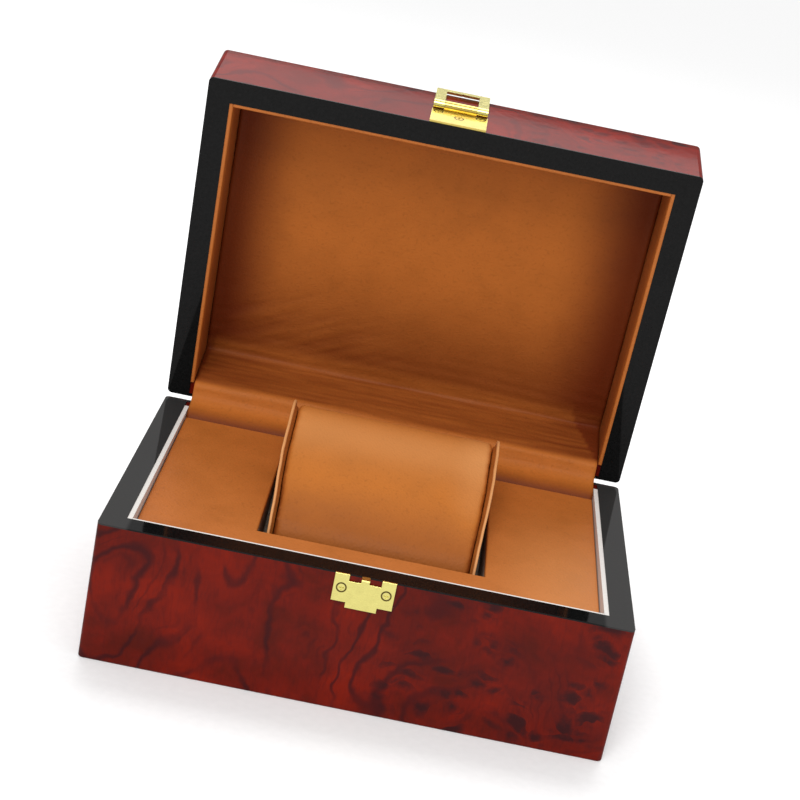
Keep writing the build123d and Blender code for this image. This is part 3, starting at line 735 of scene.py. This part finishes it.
LEATHER = 0.8 * MM
ROW_STEP = 0.55 * MM
COLUMN_STEP = 1.4 * MM
DROP = [(58.7, 44.5), (58.7, 51.6), (61.9, 54.5), (67.5, 55.5), (70.9, 58.2)]        # y, z in mm
RISE = [(65.5, -0.2), (64.9, 2.4), (64.4, 8.0), (63.9, 20.0), (63.2, 26.5)]          # z from the rims
COVE_PASSES = 9
PANEL_PASSES = 2
Span = namedtuple("Span", "half rims panel total")
Wrinkle = namedtuple("Wrinkle", "across along seed")
RIDGES = Wrinkle(38, 2.6, 3.1)             # sizes in mm
FINE_RIDGES = Wrinkle(14, 1.5, 8.7)
SWELL = Wrinkle(30, 26, 1.7)
FAN = Wrinkle(24, 2.4, 6.4)
FAN_SLANT = 0.5
RIDGE_LIFT = 0.24                          # mm
FINE_LIFT = 0.14
SWELL_LIFT = 0.25
FAN_LIFT = 0.34
CROWN_LIFT = 0.25
CROWN_FADE = 40 * MM
TUCK_DEPTH = 0.6
TUCK_WIDTH = 3.2 * MM
SPREAD = 0.0038                            # share by which the lining in the lid is wider
SPREAD_AFTER_RIMS = (4 * MM, 12 * MM)
COVE_FADE = (14 * MM, 26 * MM)
COVE_AFTER_PANEL = 32 * MM
PANEL_BLEND = 6 * MM
FAN_X = (-0.5, 0.2)                        # shares of half the width
FAN_AFTER_PANEL = (12 * MM, 44 * MM)
# Painted light in the lining's colour: the _SHADE values are painted shade where the lid's corners,
# mitres, sides and ends and the deck shade the lining; LEDGE_HIGHLIGHT is a painted highlight; the
# _DARKENING values darken the lid's back wall and its wrinkles.
WALL_DARKENING = 0.55
RIDGE_DARKENING = 0.16
FINE_DARKENING = 0.10
WALL_BEFORE_RIMS = 0.5 * MM
WALL_AFTER_RIMS = 3.0 * MM
CORNER_SHADE = 0.16
CORNER_X = 0.45                            # share of half the width
MITRE_SHADE = 0.34
MITRE_WIDTHS = (3 * MM, 13 * MM)           # at the top of the wall, on the left and on the right
MITRE_BLEND = (0.5 * MM, 0.9 * MM)
BEHIND_DECK_SHADE = 0.85
HIDDEN_FADE = (7 * MM, 15 * MM)
SIDE_SHADE = 0.88
SIDE_START = 2 * MM
SIDE_FADES = (32 * MM, 38 * MM)            # on the left and on the right
LOW_SHADE = 0.66
LOW_BEFORE_PANEL = 4 * MM
LOW_AFTER_PANEL = 62 * MM
HIGH_SHADE = 0.30
HIGH_FADE = 22 * MM
FAN_DARKENING = 0.16
LEDGE_HIGHLIGHT = 0.20
LEDGE_BEFORE_PANEL = 1.5 * MM
LEDGE_WIDTH = 3.4 * MM
MOST_DARKENING = 0.92


def lid_place(y, z):
    """A point of the shut lid, in metres in the Y-Z plane, in its open place."""
    return OPENING @ Vector((0.0, y, z))


def lining_line(panel_low, panel_high):
    """The lining's front face in the Y-Z plane, and where along it the panel and the lid's wall start."""
    face = panel_low.z
    rims = HINGE.z
    points = [Vector((0.0, y * MM, z * MM)) for y, z in DROP]
    points += [lid_place(y * MM, rims + z * MM) for y, z in RISE]
    points.append(lid_place(panel_high.y + 0.6 * MM, face + 0.1 * MM))
    points.append(lid_place(panel_high.y - 4 * MM, face))
    line = softened(resampled(points, ROW_STEP), COVE_PASSES)
    panel_start = len(line)
    flat = [line[-1], lid_place(panel_low.y + 2.0 * MM, face), lid_place(panel_low.y, face + 0.5 * MM)]
    line += softened(resampled(flat, 2 * ROW_STEP), PANEL_PASSES)[1:]
    rim_place = lid_place(RISE[0][0] * MM, rims + RISE[0][1] * MM)
    rims_start = min(range(panel_start), key=lambda n: (line[n] - rim_place).length)
    return line, panel_start, rims_start


def wrinkled(x, s, wrinkle):
    return noise.noise(Vector((x / (wrinkle.across * MM), s / (wrinkle.along * MM), wrinkle.seed)))


def lining_fan(x, s, span, on_panel):
    """The wrinkles that fan out over the panel's lower left, and how much they show at the place."""
    fan = wrinkled(x + FAN_SLANT * s, s - FAN_SLANT * x, FAN)
    fanned = on_panel * (1 - smooth_step(x, FAN_X[0] * span.half, FAN_X[1] * span.half))
    fanned *= 1 - smooth_step(s, span.panel + FAN_AFTER_PANEL[0], span.panel + FAN_AFTER_PANEL[1])
    return fan, fanned


def cove_darkening(x, s, span, ridges, fine):
    """Painted shade at the end behind the deck, in the lid's back corners and in the mitres beside its
    liners; darker all over the lid's back wall too, following its ridges.
    """
    edge = span.half - abs(x)
    corner = CORNER_SHADE * smooth_step(abs(x), CORNER_X * span.half, span.half)
    climb = min(1.0, max(0.0, (s - span.rims) / (span.panel - span.rims)))
    mitre_width = MITRE_WIDTHS[x > 0] * climb
    mitre = 1 - smooth_step(edge, mitre_width - MITRE_BLEND[0], mitre_width + MITRE_BLEND[1])
    mitre = MITRE_SHADE * mitre * smooth_step(climb, 0.0, 0.1)
    behind = BEHIND_DECK_SHADE * (1 - smooth_step(s, *HIDDEN_FADE))
    on_wall = smooth_step(s, span.rims - WALL_BEFORE_RIMS, span.rims + WALL_AFTER_RIMS)
    return on_wall * (WALL_DARKENING + corner + mitre + RIDGE_DARKENING * ridges + FINE_DARKENING * fine) + behind


def panel_shade(x, s, span, fan, fanned):
    """Painted shade towards the panel's sides and its lower edge, less at the upper one, where the lid's
    walls shade the panel.
    """
    edge = span.half - abs(x)
    side = SIDE_SHADE * (1 - smooth_step(edge, SIDE_START, SIDE_FADES[x > 0]))
    low = LOW_SHADE * (1 - smooth_step(s, span.panel - LOW_BEFORE_PANEL, span.panel + LOW_AFTER_PANEL))
    high = HIGH_SHADE * (1 - smooth_step(span.total - s, 0, HIGH_FADE))
    return 1 - (1 - side) * (1 - low - FAN_DARKENING * fan * fanned) * (1 - high)


def lining_point(x, s, span):
    """How far the lining lifts off its smooth face, and its painted light and tone value."""
    edge = span.half - abs(x)
    on_panel = smooth_step(s, span.panel - PANEL_BLEND, span.panel + PANEL_BLEND)
    on_cove = smooth_step(s, *COVE_FADE) * (1 - smooth_step(s, span.panel, span.panel + COVE_AFTER_PANEL))
    ridges = wrinkled(x, s, RIDGES)
    fine = wrinkled(x, s, FINE_RIDGES)
    fan, fanned = lining_fan(x, s, span, on_panel)
    lift = on_cove * (RIDGE_LIFT * ridges + FINE_LIFT * fine) * MM
    lift += SWELL_LIFT * wrinkled(x, s, SWELL) * MM * on_panel
    lift += FAN_LIFT * MM * fan * fanned
    crown = smooth_step(edge, 0, CROWN_FADE) * smooth_step(span.total - s, 0, CROWN_FADE) * on_panel
    lift += CROWN_LIFT * MM * crown
    lift -= on_panel * TUCK_DEPTH * MM * (1 - smooth_step(edge, 0, TUCK_WIDTH))
    # painted highlight: a paler band along the panel's lower ledge
    ledge_highlight = LEDGE_HIGHLIGHT * math.exp(-((s - span.panel + LEDGE_BEFORE_PANEL) / LEDGE_WIDTH) ** 2)
    cove = cove_darkening(x, s, span, ridges, fine)
    painted_light_and_tone = cove * (1 - on_panel) + on_panel * panel_shade(x, s, span, fan, fanned) - ledge_highlight
    return lift, min(MOST_DARKENING, max(0.0, painted_light_and_tone))


def grid_faces(rows, columns):
    """Faces of a grid whose points are numbered along its rows."""
    width = columns + 1
    corners = (n * width + m for n in range(rows) for m in range(columns))
    return [(first, first + width, first + width + 1, first + 1) for first in corners]


def make_lining():
    panel_low, panel_high = shut_box("lid_panel_pad")
    line, panel_start, rims_start = lining_line(panel_low, panel_high)
    along = distances(line)
    span = Span(panel_high.x, along[rims_start], along[panel_start - 1], along[-1])
    columns = round(2 * span.half / COLUMN_STEP)
    vertices = []
    painted_light_and_tone = []
    for n, point in enumerate(line):
        tangent = (line[min(n + 1, len(line) - 1)] - line[max(n - 1, 0)]).normalized()
        normal = tangent.cross(Vector((1, 0, 0)))
        start, end = (span.rims + after for after in SPREAD_AFTER_RIMS)
        widened = 1 + SPREAD * smooth_step(along[n], start, end)
        for m in range(columns + 1):
            x = -span.half + 2 * span.half * m / columns
            lift, tone_shift = lining_point(x, along[n], span)
            vertices.append(Vector((x * widened, point.y, point.z)) + normal * lift)
            painted_light_and_tone.append(tone_shift)
    faces = grid_faces(len(line) - 1, columns)
    lining = new_piece("leather_lining", vertices, faces, lining_leather)
    set_painted_light_and_tone(lining, painted_light_and_tone)
    solid = lining.modifiers.new("thickness", "SOLIDIFY")
    solid.thickness = LEATHER
    solid.offset = -1.0
    apply_modifiers(lining)
    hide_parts("hinge_flap", "lid_panel_pad")
    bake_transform(lining)


# Strap pillow -------------------------------------------------------------------------------------
# Its own directions are x, u along its slope and v through its thickness.

PILLOW_TILT = math.radians(22.6)
PILLOW_LENGTH = 84.0 * MM
PILLOW_THICKNESS = 32.0 * MM
PILLOW_RADIUS = 14.0 * MM
VOXEL = 2.4 * MM
COVER_INSET = 0.9 * MM
COVER_STEP = 2.0 * MM
COVER_RINGS = 40
COVER_OVERLAP = 0.1 * MM
HELD_EDGE = 2.5 * MM
PUFF_LIMIT = 1.3 * MM
FOAM_INSET = 4.0 * MM
FOAM_STEP = 3.0 * MM
END_STEP = 1.3 * MM
DRAWN_IN = 0.055
PRESSURE = 4.0
STRETCH_STIFFNESS = 25.0
BENDING_STIFFNESS = 0.8
CLOTH_FRAMES = 20
CREASE_LIFT = 0.30                         # mm
CREASE_SLANT = 0.6
CREASED_X = (0.55, 0.95)                   # shares of half the band's width, as those below
PUCKER_LIFT = 0.22
PUCKERED_X = 0.7
BROAD_LIFT = 0.30
SEAM_DEPTH = 0.8
SEAM_FADE = (3.0 * MM, 0.4 * MM)           # before the seam
# painted light in the cushion's colour: LOW_END_SHADE and SEAM_SHADE are painted shade over the lower end
# and in the seams; CUSHION_HIGHLIGHT is a painted highlight band across the upper part and down the right
# side
LOW_END_SHADE = 0.42
LOW_END_U = (-0.40, -0.02)                 # shares of the pillow's length, as those below
SEAM_SHADE = 0.30
CUSHION_HIGHLIGHT = 0.62
HIGHLIGHT_U = 0.24
HIGHLIGHT_WIDTH = 0.16
HIGHLIGHT_X = (0.55, 0.9)
MOST_CUSHION_SHADE = 0.75
band_low, band_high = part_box("pillow_band")
PILLOW_CENTRE = (band_low + band_high) / 2
BAND_HALF = band_high.x
PILLOW_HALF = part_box("pillow_right_cap")[1].x
PILLOW_TURN = Euler((PILLOW_TILT, 0, 0)).to_matrix()


def heading(angle):
    return math.cos(angle), math.sin(angle)


def pillow_outline(inset, step):
    """The pillow's outline as (u, v, outward normal): round corners with straight runs between."""
    radius = PILLOW_RADIUS - inset
    straight_u = PILLOW_LENGTH / 2 - inset - radius
    straight_v = PILLOW_THICKNESS / 2 - inset - radius
    centres = [(straight_u, straight_v), (-straight_u, straight_v), (-straight_u, -straight_v),
               (straight_u, -straight_v)]
    outline = []
    for n, (u, v) in enumerate(centres):
        steps = max(4, round(radius * math.pi / 2 / step))
        for k in range(steps + 1):
            outward = heading(math.pi / 2 * (n + k / steps))
            outline.append((u + radius * outward[0], v + radius * outward[1], outward))
        next_u, next_v = centres[(n + 1) % 4]
        outward = heading(math.pi / 2 * (n + 1))
        runs = max(1, round(math.hypot(next_u - u, next_v - v) / step))
        for k in range(1, runs):
            share = k / runs
            run_u = u + (next_u - u) * share + radius * outward[0]
            run_v = v + (next_v - v) * share + radius * outward[1]
            outline.append((run_u, run_v, outward))
    return outline


def drawn_in(point):
    """A point of the pillow moved to where its narrower lower front end has it."""
    u = (PILLOW_TURN.transposed() @ (point - PILLOW_CENTRE)).y
    waist = 1 - DRAWN_IN * (1 - smooth_step(u, -0.5 * PILLOW_LENGTH, 0.15 * PILLOW_LENGTH))
    return Vector((point.x * waist, point.y, point.z))


def pillow_point(x, u, v):
    return PILLOW_CENTRE + PILLOW_TURN @ Vector((x, u, v))


def closed_loft(rings):
    """Faces for rings of equal length, with a fan over each end; two centre points come last."""
    size = len(rings[0])
    vertices = [point for ring in rings for point in ring]
    faces = []
    for n in range(len(rings) - 1):
        for m in range(size):
            after = (m + 1) % size
            faces.append((n * size + m, n * size + after, (n + 1) * size + after, (n + 1) * size + m))
    first_centre = len(vertices)
    vertices.append(sum(rings[0], Vector()) / size)
    vertices.append(sum(rings[-1], Vector()) / size)
    last = (len(rings) - 1) * size
    for m in range(size):
        after = (m + 1) % size
        faces.append((first_centre, after, m))
        faces.append((first_centre + 1, last + m, last + after))
    return vertices, faces


def puff_up(piece, start):
    """A short pressurised cloth run. The cover's edges are held, and the rest moves a little at most."""
    pins = piece.vertex_groups.new(name="pins")
    held = [n for n, place in enumerate(start) if abs(place.x) > BAND_HALF - HELD_EDGE]
    pins.add(held, 1.0, "REPLACE")
    cloth = piece.modifiers.new("cloth", "CLOTH")
    cloth.settings.vertex_group_mass = "pins"
    cloth.settings.quality = 6
    cloth.settings.use_pressure = True
    cloth.settings.uniform_pressure_force = PRESSURE
    cloth.settings.effector_weights.gravity = 0.0
    cloth.settings.tension_stiffness = STRETCH_STIFFNESS
    cloth.settings.compression_stiffness = STRETCH_STIFFNESS
    cloth.settings.bending_stiffness = BENDING_STIFFNESS
    for step in range(1, CLOTH_FRAMES + 1):
        scene.frame_set(step)
    apply_modifiers(piece)
    scene.frame_set(1)
    for vertex, before in zip(piece.data.vertices, start):
        move = vertex.co - before
        if move.length > PUFF_LIMIT:
            vertex.co = before + move * (PUFF_LIMIT / move.length)


def inflate(piece):
    """An even mesh all over the cover, puffed up and smoothed."""
    remesh = piece.modifiers.new("remesh", "REMESH")
    remesh.mode = "VOXEL"
    remesh.voxel_size = VOXEL
    apply_modifiers(piece)
    start = [vertex.co.copy() for vertex in piece.data.vertices]
    puff_up(piece, start)
    smooth = piece.modifiers.new("smooth", "SMOOTH")
    smooth.factor = 0.5
    smooth.iterations = 3
    finer = piece.modifiers.new("finer", "SUBSURF")
    finer.levels = 1
    finer.render_levels = 1
    apply_modifiers(piece)


def pillow_noise(x, u, v, across, along, seed=0.0):
    """Noise whose marks are this long in mm across the pillow, and along its slope and thickness."""
    return noise.noise(Vector((x / (across * MM), u / (along * MM), v / (along * MM) + seed)))


def wrinkle_pillow(piece):
    """Creases by the right seam, a few shallow ones low down, and the pulled-in seams. Painted light in
    its colour: painted shade over the lower end and along the seams, and a painted highlight band across
    the upper part and down the right side.
    """
    back = PILLOW_TURN.transposed()
    painted_light_and_tone = []
    for vertex in piece.data.vertices:
        x, u, v = back @ (vertex.co - PILLOW_CENTRE)
        outward = vertex.normal
        near_right = smooth_step(x, CREASED_X[0] * BAND_HALF, CREASED_X[1] * BAND_HALF)
        near_seam = smooth_step(abs(x), BAND_HALF - SEAM_FADE[0], BAND_HALF - SEAM_FADE[1])
        crease = pillow_noise(x, u + CREASE_SLANT * x, v, 4.5, 16)
        pucker = pillow_noise(x, u, v, 12, 5.5, seed=4.0)
        broad = pillow_noise(x, u, v, 28, 24, seed=9.0)
        lift = CREASE_LIFT * near_right * crease
        lift += PUCKER_LIFT * smooth_step(abs(x), PUCKERED_X * BAND_HALF, BAND_HALF) * pucker
        lift += BROAD_LIFT * broad - SEAM_DEPTH * near_seam
        vertex.co = drawn_in(vertex.co + outward * lift * MM)
        # painted shade over the lower end and by the seams, painted highlight across the upper part and
        # down the right side
        low_end = 1 - smooth_step(u, LOW_END_U[0] * PILLOW_LENGTH, LOW_END_U[1] * PILLOW_LENGTH)
        tone_shift = math.exp(-((u - HIGHLIGHT_U * PILLOW_LENGTH) / (HIGHLIGHT_WIDTH * PILLOW_LENGTH)) ** 2)
        tone_shift += 0.5 * smooth_step(x, HIGHLIGHT_X[0] * BAND_HALF, HIGHLIGHT_X[1] * BAND_HALF) * (1 - low_end)
        tone_shift *= 1 - 0.5 * near_seam
        shade = LOW_END_SHADE * low_end + SEAM_SHADE * near_seam - CUSHION_HIGHLIGHT * tone_shift
        painted_light_and_tone.append(min(MOST_CUSHION_SHADE, shade))
    set_painted_light_and_tone(piece, painted_light_and_tone)


def make_cushion():
    outline = pillow_outline(COVER_INSET, COVER_STEP)
    ends = BAND_HALF + COVER_OVERLAP
    places = [-ends + 2 * ends * n / COVER_RINGS for n in range(COVER_RINGS + 1)]
    rings = [[pillow_point(x, u, v) for u, v, _ in outline] for x in places]
    vertices, faces = closed_loft(rings)
    cushion = new_piece("pillow_cushion", vertices, faces, cushion_leather)
    inflate(cushion)
    wrinkle_pillow(cushion)
    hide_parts("pillow_band")
    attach(cushion, "pillow")


def make_foam():
    """The pillow's foam block, inside the cover."""
    outline = pillow_outline(FOAM_INSET, FOAM_STEP)
    ends = BAND_HALF - FOAM_INSET
    rings = [[drawn_in(pillow_point(x, u, v)) for u, v, _ in outline] for x in (-ends, 0.0, ends)]
    vertices, faces = closed_loft(rings)
    foam = new_piece("pillow_foam", vertices, faces, materials["foam"])
    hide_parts("pillow_core")
    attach(foam, "pillow")


def lip_profile():
    """The end panel's section: (x from the pillow's middle in metres, rise off the outline in mm)."""
    inner = BAND_HALF + 0.85 * MM
    outer = PILLOW_HALF - 0.25 * MM
    return [
        (BAND_HALF - 0.2 * MM, -2.6),
        (inner, -1.6),
        (inner, 0.0),
        (inner + 0.3 * MM, 0.45),
        (outer - 0.3 * MM, 0.5),
        (outer, 0.1),
        (outer, -0.8),
        (outer - 0.15 * MM, -2.5),
        (outer, -6.0),
    ]


def make_pillow_end(side, side_name):
    """The end panel: its turned edge stands up as a narrow, slightly wavy lip beside the seam."""
    outline = pillow_outline(0.0, END_STEP)
    rings = []
    painted_light_and_tone = []
    for reach, rise in lip_profile():
        ring = []
        for u, v, outward in outline:
            ripple = noise.noise(Vector((u / (7 * MM), v / (7 * MM), 5.0 * side)))
            x = side * (reach - 0.12 * MM * (1 + ripple))
            lift = (rise + 0.22 * ripple * smooth_step(rise, -2.0, 0.3)) * MM
            ring.append(drawn_in(pillow_point(x, u + outward[0] * lift, v + outward[1] * lift)))
        rings.append(ring)
        painted_light_and_tone += [smooth_step(rise, -1.5, 0.0)] * len(ring)
    if side < 0:
        rings.reverse()
        painted_light_and_tone.reverse()
    vertices, faces = closed_loft(rings)
    painted_light_and_tone += [0.0, 0.0]
    end = new_piece(f"pillow_{side_name}_end", vertices, faces, edge_leather)
    set_painted_light_and_tone(end, painted_light_and_tone)
    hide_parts(f"pillow_{side_name}_cap")
    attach(end, "pillow")


dress_nodes()
make_camera()
make_floor()
make_light()
make_lining()
make_foam()
make_cushion()
for side_sign, side_name in ((-1, "left"), (1, "right")):
    make_pillow_end(side_sign, side_name)
